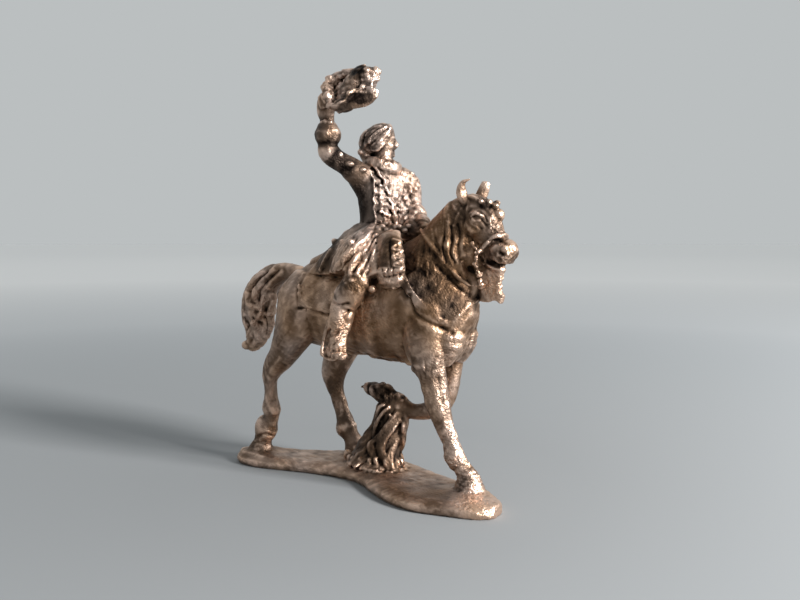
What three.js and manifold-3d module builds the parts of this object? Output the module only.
// A small cast white metal statuette: an officer on a walking horse, waving a three-cornered hat.
// It is one casting: base, grass tuft, horse, saddlery, rider and hat.
// Lengths are in millimetres, +X is the horse's front, +Y its left side and +Z is up.
// The origin is on the flat underside, under the middle of the horse.
import * as THREE from 'three';
import { mergeVertices } from 'three/addons/utils/BufferGeometryUtils.js';
import Module from 'manifold-3d';

const wasm = await Module();
wasm.setup();

// Driving dimensions
const figureHeight = 53.8;      // from the top of the base to the top of the hat
const baseThickness = 1.6;      // underside to the walking surface
const baseEdgeDrop = 0.5;       // how much thinner the base is at its rounded edge
const baseShoulder = 1.3;       // width of the rounded edge
const baseFlow = 0.35;          // how far the edge bulges out over its foot
const moundHeight = 0.7;        // metal heaped round each hoof
const moundReach = 2.6;
const clothThickness = 0.55;    // saddle cloth, proud of the horse
const strapThickness = 0.38;    // straps and harness, proud of the horse
const strapWidth = 1.0;
const skirtThickness = 0.9;     // coat skirt
const pleats = 6;               // on each side of the coat skirt
const pleatDepth = 0.5;
const skirtSwell = 1.4;         // how far the skirt stands out between waist and hem
const brimReach = 2.75;         // from the crown's middle to the turned-up brim
const brimCorner = 1.35;        // how much further each of the three corners reaches
const brimRise = 2.5;
const brimThickness = 0.55;
const crownRadius = 1.7;
const crownHeight = 3.8;
const flashThickness = 0.9;     // plate of metal left between the jaw and the neck
const buttonRows = 4;
const buttonPitch = 1.5;
const buttonRadius = 0.3;
const hairDepth = 0.22;         // waves on tail and mane
const maneLocks = 5;
const maneLength = 6.4;
const blades = 14;              // in the grass tuft

const shortestEdge = 0.16;      // edges that a join leaves shorter than this are drawn together

const drawnHeight = 53.8;       // the height that the stations below are drawn at
const unit = figureHeight / drawnHeight;
const across = [0, 1, 0];

// Closed skin over rings of points, with a pole at each end
function skin(rings, startPole, endPole) {
  const count = rings[0].length;
  const points = [startPole, ...rings.flat(), endPole];
  const last = points.length - 1;
  const faces = [];
  for (let i = 0; i < count; i++) {
    const next = (i + 1) % count;
    faces.push(0, 1 + next, 1 + i);
    for (let r = 0; r < rings.length - 1; r++) {
      const here = 1 + r * count;
      const there = here + count;
      faces.push(here + i, here + next, there + next, here + i, there + next, there + i);
    }
    const end = last - count;
    faces.push(last, end + i, end + next);
  }
  const geometry = new THREE.BufferGeometry();
  const flat = points.flatMap((p) => [p.x, p.y, p.z]);
  geometry.setAttribute('position', new THREE.Float32BufferAttribute(flat, 3));
  geometry.setIndex(faces);
  return geometry;
}

const centre = (ring) => ring.reduce((sum, p) => sum.add(p), new THREE.Vector3()).divideScalar(ring.length);

// Solid from a closed geometry, turned right side out if its faces point in
function solid(geometry) {
  const bare = geometry.clone();
  bare.deleteAttribute('normal');
  bare.deleteAttribute('uv');
  const merged = mergeVertices(bare, 1e-5);
  const vertProperties = Float32Array.from(merged.attributes.position.array);
  const triVerts = Uint32Array.from(merged.index.array);
  const made = new wasm.Manifold(new wasm.Mesh({ numProp: 3, vertProperties, triVerts }));
  if (made.volume() > 0) return made;
  for (let i = 0; i < triVerts.length; i += 3) {
    [triVerts[i + 1], triVerts[i + 2]] = [triVerts[i + 2], triVerts[i + 1]];
  }
  return new wasm.Manifold(new wasm.Mesh({ numProp: 3, vertProperties, triVerts }));
}

function join(parts) {
  return parts.flat(Infinity).reduce((whole, part) => whole.add(part));
}

const even = () => 1;

// Round form through stations [x, y, z, half width, half depth]; the width lies along spread
function limb(stations, { sides = 10, steps = 1, spread = across, shape = even, cap = 0.6 } = {}) {
  const path = new THREE.CatmullRomCurve3(stations.map(([x, y, z]) => new THREE.Vector3(x, y, z)),
    false, 'centripetal');
  const spans = stations.length - 1;
  const wide = new THREE.Vector3(...spread);
  const ring = (t, grow, shift) => {
    const i = Math.min(Math.floor(t * spans), spans - 1);
    const f = t * spans - i;
    const blend = f * f * (3 - 2 * f);
    const half = [3, 4].map((k) => stations[i][k] + (stations[i + 1][k] - stations[i][k]) * blend);
    const middle = path.getPoint(t);
    const along = path.getTangent(t);
    const side = wide.clone().addScaledVector(along, -wide.dot(along)).normalize();
    const up = along.clone().cross(side);
    middle.addScaledVector(along, shift * Math.min(...half));
    if (grow === 0) return middle;
    return Array.from({ length: sides }, (_, k) => {
      const angle = 2 * Math.PI * k / sides;
      const swell = grow * shape(t, angle);
      return middle.clone().addScaledVector(side, half[0] * swell * Math.cos(angle))
        .addScaledVector(up, half[1] * swell * Math.sin(angle));
    });
  };
  const rings = [ring(0, 0.7, -0.7 * cap)];
  for (let k = 0; k <= spans * steps; k++) rings.push(ring(k / (spans * steps), 1, 0));
  rings.push(ring(1, 0.7, 0.7 * cap));
  return solid(skin(rings, ring(0, 0, -cap), ring(1, 0, cap)));
}

function ball([x, y, z], [rx, ry, rz], sides = 8, turn = 0) {
  const shape = new THREE.SphereGeometry(1, sides, sides > 6 ? 5 : 3);
  shape.rotateX(Math.PI / 2).scale(rx, ry, rz).rotateZ(turn).translate(x, y, z);
  return solid(shape);
}

// Block for trimming, given by its middle, its sides and its turn in degrees about X, Y and Z
function block([x, y, z], size, turn = [0, 0, 0]) {
  const shape = new THREE.BoxGeometry(...size);
  const angles = turn.map((t) => THREE.MathUtils.degToRad(t));
  shape.applyMatrix4(new THREE.Matrix4().makeRotationFromEuler(new THREE.Euler(...angles)));
  return solid(shape.translate(x, y, z));
}

// Swelling round a form, for locks and strands: a number of ridges that may twist along it
const waves = (count, depth, twist = 0) => (t, angle) => 1 + depth * Math.cos(count * angle + twist * t);

// Draws together the ends of every edge shorter than the limit, where the skin stays closed and unfolded
function closeShortEdges(points, faces, limit) {
  const around = points.map(() => new Set());
  faces.forEach((face, f) => face.forEach((v) => around[v].add(f)));
  const neighbours = (v) => new Set([...around[v]].flatMap((f) => faces[f]).filter((w) => w !== v));
  const folds = (v, other, to) => [...around[v]].some((f) => {
    if (faces[f].includes(other)) return false;
    const was = new THREE.Triangle(...faces[f].map((w) => points[w]));
    const is = new THREE.Triangle(...faces[f].map((w) => (w === v ? to : points[w])));
    if (is.getArea() < 1e-6) return true;
    const turn = was.getNormal(new THREE.Vector3()).dot(is.getNormal(new THREE.Vector3()));
    return was.getArea() > 1e-5 && turn < 0.3;
  });
  const drawTogether = (a, b) => {
    const shared = [...neighbours(a)].filter((v) => neighbours(b).has(v));
    if (shared.length !== 2) return false;
    const middle = points[a].clone().lerp(points[b], 0.5);
    const target = [middle, points[a], points[b]].find((to) => !folds(a, b, to) && !folds(b, a, to));
    if (!target) return false;
    points[a] = target.clone();
    for (const f of [...around[b]]) {
      if (faces[f].includes(a)) {
        faces[f].forEach((v) => around[v].delete(f));
        faces[f] = null;
      } else {
        faces[f] = faces[f].map((v) => (v === b ? a : v));
        around[a].add(f);
      }
    }
    around[b].clear();
    return true;
  };
  for (let changed = true; changed;) {
    changed = false;
    for (let f = 0; f < faces.length; f++) {
      for (let k = 0; faces[f] && k < 3; k++) {
        const [a, b] = [faces[f][k], faces[f][(k + 1) % 3]];
        if (points[a].distanceTo(points[b]) < limit && drawTogether(a, b)) changed = true;
      }
    }
  }
  return faces.filter((face) => face);
}

function volumeOf(points, faces) {
  return faces.reduce((sum, [a, b, c]) => sum + points[a].dot(points[b].clone().cross(points[c])) / 6, 0);
}

// The connected shells of a mesh, as lists of faces
function shellsOf(points, faces) {
  const parent = points.map((_, i) => i);
  const root = (i) => {
    while (parent[i] !== i) i = parent[i] = parent[parent[i]];
    return i;
  };
  faces.forEach(([a, b, c]) => {
    parent[root(a)] = root(b);
    parent[root(b)] = root(c);
  });
  const shells = new Map();
  faces.forEach((face) => {
    const key = root(face[0]);
    if (!shells.has(key)) shells.set(key, []);
    shells.get(key).push(face);
  });
  return [...shells.values()];
}

// Geometry of a joined solid. Pockets closed in between the forms that were joined are metal
function outerSkin({ vertProperties, triVerts }) {
  const points = Array.from({ length: vertProperties.length / 3 },
    (_, i) => new THREE.Vector3().fromArray(vertProperties, 3 * i));
  const all = Array.from({ length: triVerts.length / 3 }, (_, i) => [...triVerts.slice(3 * i, 3 * i + 3)]);
  const outer = shellsOf(points, all).filter((faces) => volumeOf(points, faces) > 0).flat();
  const faces = closeShortEdges(points, outer, shortestEdge);
  const geometry = new THREE.BufferGeometry();
  geometry.setAttribute('position', new THREE.Float32BufferAttribute(points.flatMap((p) => p.toArray()), 3));
  geometry.setIndex(faces.flat());
  return geometry;
}

// Horse. A station is [x, y, z, half width, half depth], with z counted from the top of the base
const trunkStations = [
  [-12.8, 0, 23.2, 3.0, 4.3], [-11.6, 0, 22.9, 4.3, 5.4], [-9.6, 0, 22.7, 5.2, 6.0], [-5.5, 0, 22.5, 5.6, 6.3],
  [-1.5, 0, 22.4, 5.7, 6.5], [2.5, 0, 22.5, 5.6, 7.0], [6.5, 0, 22.9, 5.2, 7.6], [9.6, 0, 22.8, 4.9, 7.5],
  [12.2, 0, 21.8, 4.3, 6.2], [13.8, 0, 20.9, 3.4, 4.4],
];

const grown = (stations, proud) => stations.map(([x, y, z, a, b]) => [x, y, z, a + proud, b + proud]);

function trunk(proud = 0) {
  return limb(grown(trunkStations, proud), { sides: 14 });
}

const neckStations = [
  [6.4, 0, 24.2, 4.2, 6.4], [9.6, 0, 27.0, 3.9, 5.8], [12.2, 0, 30.0, 3.0, 4.5], [14.0, 0, 33.0, 2.2, 3.4],
  [15.3, 0, 35.4, 1.8, 2.5],
];

function neck(proud = 0) {
  return limb(grown(neckStations, proud), { sides: 12 });
}

const headStations = [
  [15.9, 0, 36.7, 1.4, 1.4], [16.4, 0, 35.9, 1.9, 2.1], [17.1, 0, 34.5, 2.2, 2.7], [17.9, 0, 32.9, 2.1, 2.8],
  [18.9, 0, 31.4, 1.6, 2.2], [20.1, 0, 30.0, 1.55, 1.8], [20.9, 0, 29.1, 1.45, 1.5],
];

// Eye under its brow, and nostril
function features(side) {
  return [
    ball([17.6, side * 1.95, 34.6], [0.75, 0.6, 0.55], 6), ball([18.0, side * 1.75, 35.3], [0.9, 0.6, 0.35], 6),
    ball([21.2, side * 1.1, 30.3], [0.7, 0.6, 0.6], 6),
  ];
}

function horseHead(proud = 0) {
  return limb(grown(headStations, proud), { sides: 10, cap: 0.45 });
}

function ear(side) {
  return limb([
    [15.6, side * 1.4, 36.6, 0.6, 0.8], [15.5, side * 1.8, 37.6, 0.6, 0.75],
    [15.9, side * 1.9, 38.7, 0.35, 0.5], [16.5, side * 1.7, 39.3, 0.1, 0.15],
  ], { sides: 5 });
}

const hindRight = [
  [-8.6, -1.8, 26.4, 2.4, 3.4], [-9.3, -2.7, 23.4, 3.0, 4.7], [-10.3, -3.3, 20.4, 2.8, 3.9],
  [-11.9, -3.5, 17.4, 2.2, 2.8],
  [-13.7, -3.4, 15.0, 1.55, 2.1], [-15.3, -3.4, 13.3, 1.35, 1.8], [-15.8, -3.2, 11.0, 0.95, 1.2],
  [-15.9, -3.1, 9.0, 0.95, 1.15], [-16.2, -3.0, 7.0, 1.35, 1.6], [-16.9, -3.0, 5.0, 1.1, 1.35],
  [-17.9, -3.0, 3.2, 1.6, 1.8], [-18.4, -2.9, 0.2, 1.95, 2.2],
];
const hindLeft = [
  [-8.0, 1.8, 26.4, 2.4, 3.4], [-7.7, 2.7, 23.4, 3.0, 4.7], [-7.4, 3.4, 20.2, 2.8, 4.0],
  [-7.6, 3.6, 16.8, 2.2, 3.0],
  [-8.4, 3.5, 14.4, 1.6, 2.4], [-9.3, 3.4, 12.3, 1.4, 2.1], [-9.7, 3.4, 10.4, 1.1, 1.6],
  [-9.0, 3.4, 8.8, 1.0, 1.25], [-7.9, 3.4, 6.8, 1.05, 1.3], [-7.2, 3.4, 5.0, 1.35, 1.6],
  [-6.4, 3.4, 3.2, 1.2, 1.45], [-5.4, 3.4, 1.6, 1.6, 1.8], [-5.0, 3.3, 0.1, 1.9, 2.1],
];
const foreRight = [
  [9.4, -2.0, 24.0, 2.1, 3.0], [10.4, -2.9, 20.6, 2.2, 3.2], [11.2, -3.3, 17.2, 2.0, 2.8],
  [12.0, -3.1, 14.6, 1.5, 2.1],
  [12.4, -3.0, 12.2, 1.35, 1.75], [12.7, -2.9, 10.9, 1.25, 1.6], [13.6, -2.7, 8.9, 0.95, 1.2],
  [14.4, -2.5, 6.6, 0.9, 1.1], [15.1, -2.3, 4.8, 1.2, 1.35], [15.9, -2.2, 3.5, 0.95, 1.1],
  [16.6, -2.1, 2.0, 1.5, 1.6], [17.0, -2.0, 0.2, 1.85, 2.0],
];
const foreLeft = [
  [9.4, 2.0, 24.0, 2.1, 3.0], [10.0, 2.9, 20.4, 2.2, 3.2], [10.6, 3.2, 16.8, 1.9, 2.5],
  [10.8, 2.9, 14.2, 1.5, 1.9],
  [10.7, 2.7, 11.9, 1.4, 1.55], [9.6, 2.6, 10.2, 1.25, 1.3], [7.2, 2.5, 9.0, 0.9, 0.9],
  [4.6, 2.5, 8.4, 0.9, 0.95], [2.9, 2.5, 8.6, 1.2, 1.35], [1.0, 2.5, 9.4, 0.95, 1.1],
  [-0.6, 2.5, 10.2, 1.3, 1.4], [-2.2, 2.5, 10.6, 1.2, 1.1], [-3.4, 2.5, 10.8, 0.4, 0.4],
];

function legs() {
  return [hindRight, hindLeft, foreRight, foreLeft].map((stations) => limb(stations, { sides: 8, cap: 0.25 }));
}

// Tail arched away from the dock, with locks that part at its end
function tail() {
  const core = limb([
    [-12.6, 0, 26.8, 1.0, 1.1], [-15.8, 0, 27.0, 1.3, 1.4], [-18.7, 0, 26.0, 1.6, 1.9],
    [-21.0, 0, 23.4, 1.7, 2.6], [-21.6, -0.1, 20.2, 1.6, 2.6], [-21.5, -0.3, 17.4, 1.3, 2.0],
    [-22.2, -0.4, 15.6, 0.8, 1.1],
  ], { sides: 12, shape: waves(4, hairDepth, 5) });
  const locks = [[-1, 0.2], [0, -0.9], [1, 0.3], [-0.4, 1.2]].map(([k, back]) => limb([
    [-18.2, k * 0.6, 26.8 - Math.abs(k) * 0.5, 0.6, 0.6], [-21.8 + back, k * 1.1, 24.4, 0.8, 0.8],
    [-22.4 + back * 1.4, k * 1.3, 20.8, 0.75, 0.8], [-21.3 + back, k * 1.1, 18.0, 0.7, 0.7],
    [-22.3 + back * 0.9, k * 0.9, 15.2, 0.45, 0.5],
  ], { sides: 5, cap: 0.9 }));
  return [core, locks];
}

// Crest of the neck, and the mane's locks falling over its right side
function mane() {
  const crest = limb([
    [9.0, 0, 31.8, 0.7, 0.8], [10.8, -0.2, 33.6, 1.0, 1.0], [12.6, -0.3, 35.4, 1.1, 1.1],
    [14.4, -0.3, 36.6, 1.1, 1.0], [16.4, 0, 37.1, 1.0, 0.8],
  ], { sides: 7 });
  const columns = 14;
  const rings = [0, 0.4, 0.75, 1].map((v) => {
    const outer = [];
    const inner = [];
    for (let k = 0; k <= columns; k++) {
      const u = k / columns;
      const lock = Math.cos(2 * Math.PI * maneLocks * u);
      const x = 9.6 + 6.8 * u + 1.2 * v + 0.4 * Math.sin(4 * v + 9 * u);
      const z = 33.0 + 3.9 * Math.sqrt(u) - maneLength * v * (1 - 0.25 * lock);
      const y = -0.6 - (3.0 - 1.0 * u) * Math.sqrt(v);
      outer.push(new THREE.Vector3(x, y - 0.4 - 1.6 * hairDepth * lock, z + 0.3));
      inner.push(new THREE.Vector3(x, y + 0.9, z - 0.3));
    }
    return [...outer, ...inner.reverse()];
  });
  return [crest, solid(skin(rings, centre(rings[0]), centre(rings[3])))];
}

// Saddlery
function saddleCloth() {
  return trunk(clothThickness).intersect(block([-0.4, 0, 28.9], [17.6, 20, 13.4], [0, 5, 0]));
}

// Cover of a pistol holster, before the rider's thigh
function holsterCover(side) {
  return limb([
    [5.2, side * 3.2, 31.8, 1.2, 1.9], [6.0, side * 4.7, 29.6, 1.2, 2.1], [6.6, side * 5.3, 27.2, 0.9, 1.9],
    [6.8, side * 5.4, 25.8, 0.5, 1.2],
  ], { sides: 8 });
}

// Breast collar with its boss, noseband and browband
function straps() {
  const body = join([trunk(strapThickness), neck(strapThickness)]);
  const collar = body.intersect(block([12.0, 0, 22.2], [13, 16, strapWidth], [0, 34, 0]));
  const face = horseHead(strapThickness * 0.8);
  const noseband = face.intersect(block([20.0, 0, 31.0], [9, 8, strapWidth * 0.7], [0, 29, 0]));
  const browband = face.intersect(block([16.9, 0, 36.0], [9, 8, strapWidth * 0.7], [0, 22, 0]));
  const boss = ball([15.1, -0.3, 22.3], [0.8, 0.8, 0.8], 7);
  return [collar, noseband, browband, boss];
}

// Curb bit hanging from the corner of the mouth, with the rein at its lower end
function bit(side) {
  return limb([
    [18.0, side * 2.0, 31.0, 0.5, 0.5], [18.3, side * 2.0, 29.6, 0.6, 0.6],
    [18.1, side * 1.9, 28.4, 0.35, 0.35], [18.4, side * 1.7, 27.2, 0.6, 0.6],
    [18.3, side * 1.4, 26.0, 0.4, 0.4],
  ], { sides: 6 });
}

function rein(side) {
  return limb([
    [18.3, side * 1.6, 26.3, 0.35, 0.35], [15.4, side * 2.9, 27.4, 0.35, 0.4],
    [12.4, side * 3.6, 29.2, 0.35, 0.4], [10.4, side * 3.0, 31.6, 0.35, 0.4],
    [8.4, side * 1.4, 33.8, 0.4, 0.45],
  ], { sides: 4 });
}

// Thin plate that the mould left between the jaw and the chest
function flash() {
  const edge = [
    [16.0, 31.0], [19.4, 29.4], [20.9, 28.6], [19.9, 27.2], [19.8, 25.4], [20.5, 24.8], [20.2, 23.9],
    [18.6, 24.2], [16.4, 23.6], [14.0, 22.6], [12.4, 26.0],
  ];
  const plate = new THREE.Shape(edge.map(([x, z]) => new THREE.Vector2(x, z)));
  const shape = new THREE.ExtrudeGeometry(plate, { depth: flashThickness, bevelEnabled: false });
  return solid(shape.rotateX(Math.PI / 2).translate(0, flashThickness / 2, 0));
}

// Rider
const facing = THREE.MathUtils.degToRad(-27);      // the chest turns to the rider's right
const shoulders = [-Math.sin(facing), Math.cos(facing), 0];

function torso() {
  return limb([
    [0.6, 0, 31.0, 3.2, 2.8], [1.3, 0, 33.6, 2.7, 2.2], [1.5, 0, 35.6, 2.8, 2.2], [1.6, 0, 38.0, 3.3, 2.4],
    [1.7, 0.1, 40.0, 3.7, 2.2], [1.9, 0.2, 41.3, 2.8, 1.7], [2.1, 0.1, 42.3, 1.3, 1.3],
    [2.1, 0.1, 43.6, 1.1, 1.15],
  ], { sides: 10, spread: shoulders });
}

// Place of a point given as [forward, left, up] from [x, y, z], for a body that faces the given way
function turned([x, y, z], way, [forward, left, up]) {
  const [cos, sin] = [Math.cos(way), Math.sin(way)];
  return [x + forward * cos - left * sin, y + forward * sin + left * cos, z + up];
}

const onChest = (place) => turned([1.4, 0, 0], facing, place);

// Lace edge of the open coat
function lapel(side) {
  const stations = [[1.5, 0.9, 41.2], [2.35, 1.1, 39.4], [2.5, 1.15, 37.2], [2.2, 1.0, 35.0], [2.2, 1.3, 33.6]]
    .map(([f, l, u]) => [...onChest([f, side * l, u]), 0.42, 0.35]);
  return limb(stations, { sides: 5, spread: shoulders });
}

function buttons() {
  return Array.from({ length: buttonRows }, (_, k) => {
    const up = 34.9 + k * buttonPitch;
    return [
      ball(onChest([2.0, -0.1, up]), [0.7, 0.8, buttonRadius], 4),
      ball(onChest([2.0, 2.0, up]), [0.7, buttonRadius * 2, buttonRadius], 4),
    ];
  });
}

// Pleated coat skirt over thigh and saddle, from the waist to a hem that runs round from rear to front
function coatSkirt(side) {
  const columns = 20;
  const hem = new THREE.CatmullRomCurve3([
    [-10.0, 1.2, 28.4], [-7.4, 4.4, 28.0], [-3.6, 6.0, 28.0], [0.4, 7.2, 27.4], [4.2, 7.2, 26.0],
    [6.6, 5.6, 27.6],
  ].map(([x, y, z]) => new THREE.Vector3(x, side * y, z)));
  const waist = new THREE.CatmullRomCurve3([
    [-2.6, 0.2, 33.2], [-1.6, 1.6, 33.8], [-0.4, 2.4, 34.0], [1.0, 2.8, 34.0], [2.4, 2.6, 34.0],
    [3.4, 1.6, 34.0],
  ].map(([x, y, z]) => new THREE.Vector3(x, side * y, z)));
  const rings = [0, 0.5, 1].map((v) => {
    const outer = [];
    const inner = [];
    for (let k = 0; k <= columns; k++) {
      const u = k / columns;
      const top = waist.getPoint(u);
      const low = hem.getPoint(u);
      const point = top.clone().lerp(low, v);
      const out = new THREE.Vector3(point.x - 0.5, point.y * 1.5, 3).normalize();
      const fold = pleatDepth * (0.3 + v) * Math.cos(2 * Math.PI * pleats * u);
      const lift = skirtSwell * Math.sin(Math.PI * v) * Math.sin(Math.PI * u) + fold;
      outer.push(point.clone().addScaledVector(out, lift));
      inner.push(point.clone().addScaledVector(out, lift - skirtThickness - 1.6 * (1 - v)));
    }
    return [...outer, ...inner.reverse()];
  });
  return solid(skin(rings, centre(rings[0]), centre(rings[2])));
}

// Boot to above the knee, foot and stirrup
function leg(side) {
  const boot = limb([
    [1.8, side * 4.8, 28.6, 1.7, 2.0], [2.4, side * 6.2, 26.9, 1.5, 1.9], [1.9, side * 6.7, 25.0, 1.5, 1.9],
    [1.6, side * 6.8, 24.0, 1.5, 1.75], [1.3, side * 6.8, 23.5, 1.15, 1.4], [0.9, side * 6.9, 21.4, 1.15, 1.4],
    [0.5, side * 7.0, 19.0, 0.95, 1.2], [0.2, side * 7.1, 17.2, 0.95, 1.35],
  ], { sides: 8 });
  const foot = limb([
    [-0.9, side * 7.0, 16.9, 0.75, 0.8], [0.3, side * 7.2, 16.8, 0.85, 0.95],
    [1.5, side * 7.5, 16.6, 0.8, 0.75], [2.4, side * 7.7, 16.4, 0.5, 0.45],
  ], { sides: 6 });
  const stirrup = limb([
    [0.5, side * 6.9, 16.0, 0.5, 0.35], [0.6, side * 8.2, 16.0, 0.5, 0.35], [0.3, side * 8.3, 17.4, 0.4, 0.3],
    [0.1, side * 7.6, 18.8, 0.4, 0.3],
  ], { sides: 4, spread: [1, 0, 0] });
  return [boot, foot, stirrup];
}

// Arm bent up, with a deep cuff and a fist on the hat's brim
function rightArm() {
  const sleeve = limb([
    [0.6, -2.4, 40.2, 1.6, 1.6], [-0.4, -4.2, 41.5, 1.4, 1.4], [-1.3, -5.8, 42.5, 1.3, 1.4],
    [-1.9, -6.7, 43.4, 1.4, 1.5], [-1.7, -6.9, 44.6, 1.4, 1.4],
  ], { sides: 8, spread: [0.8, 0.5, 0] });
  const cuff = limb([[-1.8, -6.9, 44.9, 1.75, 1.75], [-1.8, -6.9, 46.1, 1.75, 1.75]], { sides: 8, cap: 0.35 });
  const hand = limb([
    [-1.9, -6.9, 46.6, 0.95, 0.95], [-1.9, -6.9, 48.0, 1.0, 0.9], [-1.9, -7.2, 48.9, 1.3, 1.1],
    [-1.8, -7.2, 49.4, 1.1, 0.9], [-1.7, -7.2, 49.8, 1.3, 1.1], [-1.6, -7.2, 50.3, 1.05, 0.85],
    [-1.4, -7.1, 50.8, 1.1, 0.9],
  ], { sides: 8, spread: [0.8, 0.5, 0] });
  const fingers = [0, 1, 2].map((k) => limb([
    [-2.6, -7.7, 49.0 + k * 0.7, 0.38, 0.36], [-1.6, -8.4, 49.2 + k * 0.7, 0.4, 0.38],
    [-0.6, -8.0, 49.1 + k * 0.7, 0.36, 0.36],
  ], { sides: 5 }));
  return [sleeve, cuff, hand, fingers];
}

// Arm bent forward to the reins, and the coat's front beside it
function leftArm() {
  const sleeve = limb([
    [3.0, 2.7, 40.2, 1.6, 1.6], [3.9, 3.8, 39.4, 1.45, 1.5], [3.9, 4.3, 37.4, 1.35, 1.35],
    [4.4, 3.9, 35.7, 1.3, 1.3], [6.2, 2.8, 34.6, 1.0, 1.0],
  ], { sides: 8, spread: [0.5, 0.6, 0.6] });
  const cuff = limb([[4.4, 3.9, 35.9, 1.6, 1.6], [5.7, 3.1, 35.0, 1.7, 1.7]], { sides: 8, cap: 0.3 });
  const hand = limb([[6.2, 2.8, 34.6, 0.8, 0.8], [7.5, 1.8, 34.0, 1.0, 0.9], [8.6, 0.8, 33.5, 0.8, 0.8]],
    { sides: 7 });
  const coatFront = limb([[2.4, 2.6, 39.8, 1.2, 0.8], [3.2, 2.6, 37.0, 1.3, 0.9], [3.0, 2.4, 34.0, 1.4, 0.9]],
    { sides: 7, spread: shoulders });
  return [sleeve, cuff, hand, coatFront];
}

const gaze = THREE.MathUtils.degToRad(35);      // the head turns to the rider's left

const headSide = [-Math.sin(gaze), Math.cos(gaze), 0];
const onHead = (stations) => stations.map(([forward, left, up, ...half]) => (
  [...turned([1.9, 0.1, 44.9], gaze, [forward, left, up]), ...half]));

function riderHead() {
  const skull = limb(onHead([
    [0.5, 0, -2.4, 1.0, 1.0], [0.45, 0, -1.5, 1.5, 1.65], [0.3, 0, -0.4, 1.75, 1.9], [0.1, 0, 0.8, 1.85, 2.0],
    [0, 0, 1.7, 1.5, 1.65],
  ]), { sides: 10, spread: headSide });
  const nose = limb(onHead([[2.1, 0, 0.35, 0.22, 0.2], [2.45, 0, -0.35, 0.32, 0.3]]),
    { sides: 5, spread: headSide });
  return [skull, nose];
}

// Hair drawn back over the crown, a roll over each ear and a queue
function hair() {
  const cap = limb(onHead([
    [1.5, 0, 1.3, 1.1, 0.5], [0.6, 0, 1.3, 1.9, 1.3], [-0.5, 0, 0.7, 2.15, 1.9], [-1.4, 0, 0.1, 1.8, 1.7],
    [-2.2, 0, -0.6, 1.1, 1.1],
  ]), { sides: 16, spread: headSide, shape: waves(8, 0.08) });
  const roll = (side) => limb(onHead([
    [0.7, side * 1.75, -0.6, 0.5, 0.5], [-0.8, side * 1.85, -0.7, 0.55, 0.55],
  ]), { sides: 6 });
  const queue = limb(onHead([
    [-1.8, 0, -0.7, 0.6, 0.6], [-2.5, 0, -1.3, 0.75, 0.75], [-1.9, 0, -3.6, 0.45, 0.45],
  ]), { sides: 6 });
  return [cap, roll(-1), roll(1), queue];
}

function collar() {
  return limb([[2.0, 0.1, 41.4, 1.7, 1.6], [2.1, 0.1, 42.6, 1.45, 1.45]],
    { sides: 8, spread: shoulders, cap: 0.1 });
}

// Three-cornered hat: crown, and a brim turned up on three sides, with a wavy trimmed edge
function hat() {
  const sides = 18;
  const corner = (angle) => 0.5 + 0.5 * Math.cos(3 * angle);
  const profile = (angle) => {
    const reach = brimReach + brimCorner * corner(angle) ** 1.5;
    const rise = brimRise - 0.5 * corner(angle) + 0.14 * Math.cos(9 * angle);
    return [
      [crownRadius, 0.3], [reach * 0.7, -0.3], [reach, rise * 0.4], [reach * 1.04, rise],
      [reach * 1.04 - brimThickness, rise], [Math.max(crownRadius + 0.25, reach * 0.62), 0.6],
      [crownRadius, 1.2], [crownRadius * 0.88, crownHeight * 0.74], [crownRadius * 0.53, crownHeight * 0.95],
    ];
  };
  const rows = profile(0).length;
  const rings = Array.from({ length: rows }, (_, row) => Array.from({ length: sides }, (_, k) => {
    const angle = 2 * Math.PI * k / sides;
    const [radius, height] = profile(angle)[row];
    return new THREE.Vector3(radius * Math.cos(angle), radius * Math.sin(angle), height);
  }));
  const shape = skin(rings, new THREE.Vector3(0, 0, 0.4), new THREE.Vector3(0, 0, crownHeight));
  const [roll, lean, dip, swing] = [-12, 36, -30, 34].map((angle) => THREE.MathUtils.degToRad(angle));
  return solid(shape.rotateZ(roll).rotateX(lean).rotateY(dip).rotateZ(swing).translate(1.5, -5.6, 50.0));
}

// Grass tuft under the belly, which carries the raised foreleg
function tuft() {
  const core = limb([
    [0.2, 1.0, -0.2, 3.0, 4.2], [0.6, 1.2, 2.2, 2.6, 3.4], [1.7, 1.6, 5.0, 1.8, 2.4], [2.8, 2.3, 7.6, 1.2, 1.6],
  ], { sides: 12, cap: 0.2, shape: waves(4, 0.2, 4) });
  const blade = (k) => {
    const angle = k * 2.4;
    const reach = 1.5 + 0.5 * Math.sin(k * 1.7);
    const height = 2.4 + 3.6 * Math.abs(Math.cos(k * 1.3));
    const [dx, dy] = [Math.cos(angle), Math.sin(angle) * 0.8];
    const [x, y] = [0.4 + dx * 2.0, 1.1 + dy * 1.6];
    return limb([
      [x, y, 0.4, 1.1, 0.9], [x + dx * 0.8, y + dy * 0.8, height, 0.9, 0.6],
      [x + dx * reach, y + dy * reach, height * 0.75, 0.4, 0.4],
    ], { sides: 4, spread: [-dy, dx, 0.1] });
  };
  return [core, Array.from({ length: blades }, (_, k) => blade(k))];
}

// Irregular base: [x, y of its near edge, y of its far edge]
const baseEdges = [
  [-22.2, -3.8, -2.3], [-21.4, -4.7, -1.0], [-19.6, -5.5, 0.3], [-16.5, -5.6, 1.4], [-12.2, -4.5, 3.4],
  [-8.0, -3.4, 5.6], [-3.5, -2.8, 6.4], [0.5, -3.4, 6.2], [4.2, -5.6, 5.2], [8.2, -7.6, 3.6], [12.5, -8.5, 2.2],
  [16.8, -7.7, 0.8], [20.2, -6.8, -1.0], [21.6, -5.9, -2.4], [22.2, -5.0, -3.6],
].map((row) => row.map((value) => value * unit));

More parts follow.
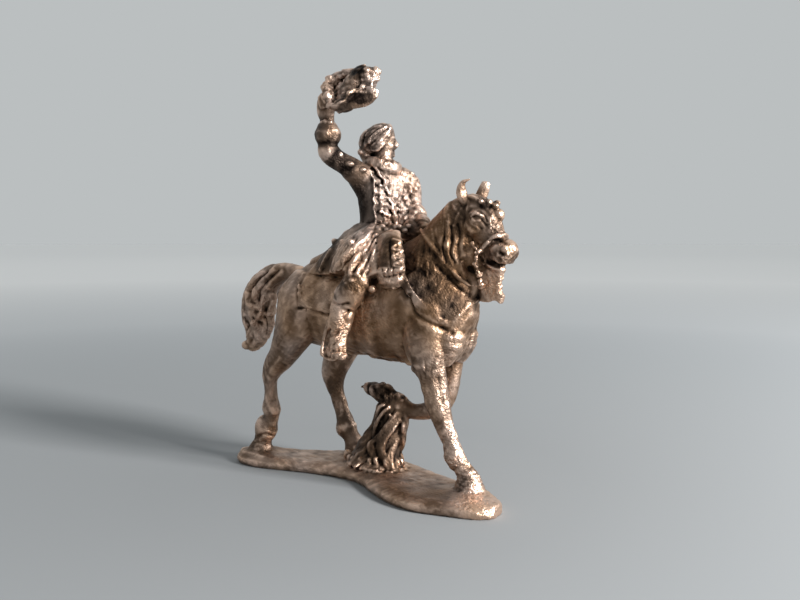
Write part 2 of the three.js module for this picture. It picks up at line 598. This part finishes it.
// The metal rises a little where each hoof stands
function groundRise(x, y) {
  const stands = [hindRight, foreRight, hindLeft].map((stations) => stations[stations.length - 1]);
  return Math.max(...stands.map(([standX, standY]) => {
    const away = Math.hypot(x - standX * unit, y - standY * unit) / moundReach;
    return moundHeight * Math.exp(-(away ** 2));
  }));
}

// Sections across the base from one end to the other, each from its near foot over the top to its far foot
function base() {
  const [near, far] = [1, 2].map((k) => new THREE.CatmullRomCurve3(
    baseEdges.map((row) => new THREE.Vector3(row[0], row[k], 0))));
  const sections = 2 * baseEdges.length;
  const edgeHeight = baseThickness - baseEdgeDrop;
  const rings = Array.from({ length: sections + 1 }, (_, k) => {
    const [from, to] = [near.getPoint(k / sections), far.getPoint(k / sections)];
    const width = to.y - from.y;
    const shoulder = Math.min(baseShoulder, 0.35 * width) / width;
    const flow = Math.min(baseFlow, 0.2 * width) / width;
    const side = [[0, 0], [-flow, edgeHeight * 0.5], [0, edgeHeight], [shoulder, baseThickness]];
    const other = side.map(([share, height]) => [1 - share, height]).reverse();
    return [...side, [0.35, baseThickness], [0.65, baseThickness], ...other].map(([share, height]) => {
      const point = from.clone().lerp(to, share);
      const lump = groundRise(point.x, point.y) + 0.08 * Math.sin(k * 1.9 + 9 * share);
      return point.setZ(height < baseThickness ? height : height + lump);
    });
  });
  const end = (ring, out) => centre(ring).add(new THREE.Vector3(out, 0, 0));
  return solid(skin(rings, end(rings[0], -0.4), end(rings[sections], 0.4)));
}

function figure() {
  return join([
    trunk(), neck(), horseHead(), ear(-1), ear(1), features(-1), features(1), legs(), tail(), mane(),
    saddleCloth(), holsterCover(-1), holsterCover(1), straps(), bit(-1), bit(1), rein(-1), rein(1), flash(),
    torso(), lapel(-1), lapel(1), buttons(), coatSkirt(-1), coatSkirt(1), leg(-1), leg(1), rightArm(),
    leftArm(), riderHead(), hair(), collar(), hat(), tuft(),
  ]);
}

function statuette() {
  const below = block([0, 0, -5], [200, 200, 10]);
  const whole = figure().scale(unit).translate([0, 0, baseThickness]).add(base()).subtract(below);
  const geometry = outerSkin(whole.getMesh());
  geometry.computeVertexNormals();
  const material = new THREE.MeshStandardMaterial({ color: 0x8d7f74, roughness: 0.38, metalness: 1 });
  const mesh = new THREE.Mesh(geometry, material);
  mesh.name = 'statuette';
  return mesh;
}

const group = new THREE.Group();
group.add(statuette());

export default group;
